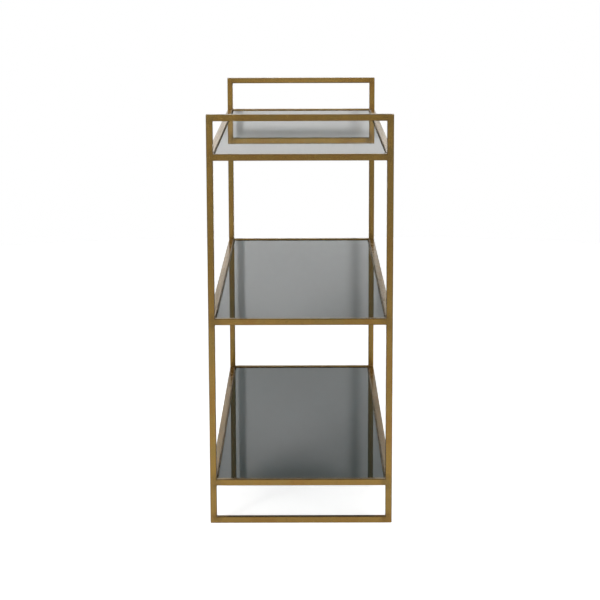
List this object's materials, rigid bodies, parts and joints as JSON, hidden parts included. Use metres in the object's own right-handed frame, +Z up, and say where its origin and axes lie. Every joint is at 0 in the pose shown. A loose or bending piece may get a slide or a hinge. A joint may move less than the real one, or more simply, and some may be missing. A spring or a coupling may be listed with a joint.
{
  "type": "etagere",
  "caption": "Low etagere of brass-finished square tube: sled-base end frames with raised handle bars carry drop-in shelves of dark glass set inside tube rails.",
  "frame": {"origin": "on the floor, under the middle of the footprint", "axes": "+X along the length towards the right-hand end frame, +Y from the front to the back, +Z up"},
  "size_m": [1.02, 0.355, 0.8],
  "materials": {
    "brass_finish": "satin",
    "clear_silicone": "satin",
    "dark_glass": "polished"
  },
  "bodies": {
    "frame": {"post_front_left": "brass_finish", "post_front_right": "brass_finish", "post_back_left": "brass_finish", "post_back_right": "brass_finish", "handle_bar_left": "brass_finish", "handle_bar_right": "brass_finish", "base_bar_left": "brass_finish", "base_bar_right": "brass_finish", "end_rail_bottom_left": "brass_finish", "end_rail_bottom_right": "brass_finish", "end_rail_middle_left": "brass_finish", "end_rail_middle_right": "brass_finish", "end_rail_top_left": "brass_finish", "end_rail_top_right": "brass_finish", "side_rail_bottom_front": "brass_finish", "side_rail_bottom_back": "brass_finish", "side_rail_middle_front": "brass_finish", "side_rail_middle_back": "brass_finish", "side_rail_top_front": "brass_finish", "side_rail_top_back": "brass_finish", "ledge_bottom_front": "brass_finish", "ledge_bottom_back": "brass_finish", "ledge_bottom_left": "brass_finish", "ledge_bottom_right": "brass_finish", "ledge_middle_front": "brass_finish", "ledge_middle_back": "brass_finish", "ledge_middle_left": "brass_finish", "ledge_middle_right": "brass_finish", "ledge_top_front": "brass_finish", "ledge_top_back": "brass_finish", "ledge_top_left": "brass_finish", "ledge_top_right": "brass_finish", "pads_bottom": "clear_silicone", "pads_middle": "clear_silicone", "pads_top": "clear_silicone"},
    "bottom_shelf": {"glass_bottom": "dark_glass"},
    "middle_shelf": {"glass_middle": "dark_glass"},
    "top_shelf": {"glass_top": "dark_glass"}
  },
  "joints": [
    {"name": "bottom_shelf_lift", "type": "slide", "parent": "frame", "child": "bottom_shelf", "axis": [0, 0, 1], "range_m": [0, 0.3072]},
    {"name": "middle_shelf_lift", "type": "slide", "parent": "frame", "child": "middle_shelf", "axis": [0, 0, 1], "range_m": [0, 0.3049]},
    {"name": "top_shelf_lift", "type": "slide", "parent": "frame", "child": "top_shelf", "axis": [0, 0, 1], "range_m": [0, 0.12]}
  ]
}
